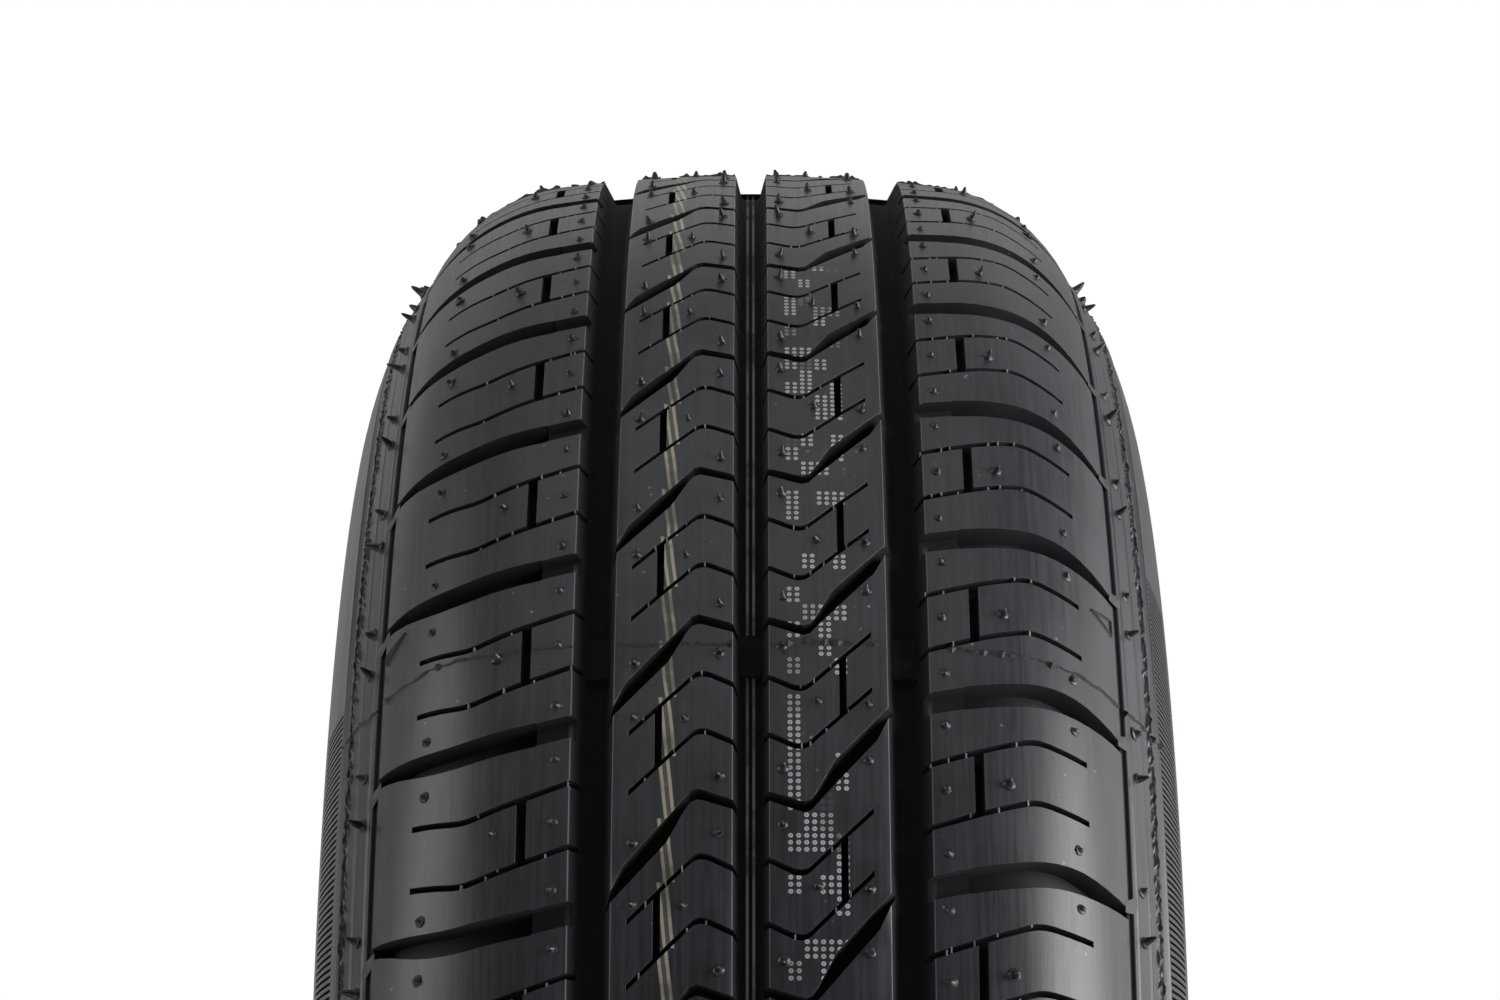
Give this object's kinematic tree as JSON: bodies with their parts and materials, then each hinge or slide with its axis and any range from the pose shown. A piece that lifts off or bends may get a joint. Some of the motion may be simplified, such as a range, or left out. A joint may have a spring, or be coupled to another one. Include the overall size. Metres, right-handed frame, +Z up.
{
  "type": "car tyre",
  "caption": "Tubeless radial road tyre with four tread ribs, three circumferential grooves and a sipe pattern on every pitch.",
  "frame": {"origin": "centre of the wheel, on the spin axis in the tyre's centre plane", "axes": "+Y along the spin axis, +Z up, +X towards the tread that faces the viewer"},
  "size_m": [0.6316, 0.2168, 0.6316],
  "materials": {
    "tyre": "moulded rubber, satin"
  },
  "bodies": {
    "root": {"tyre": "tyre"}
  },
  "joints": []
}
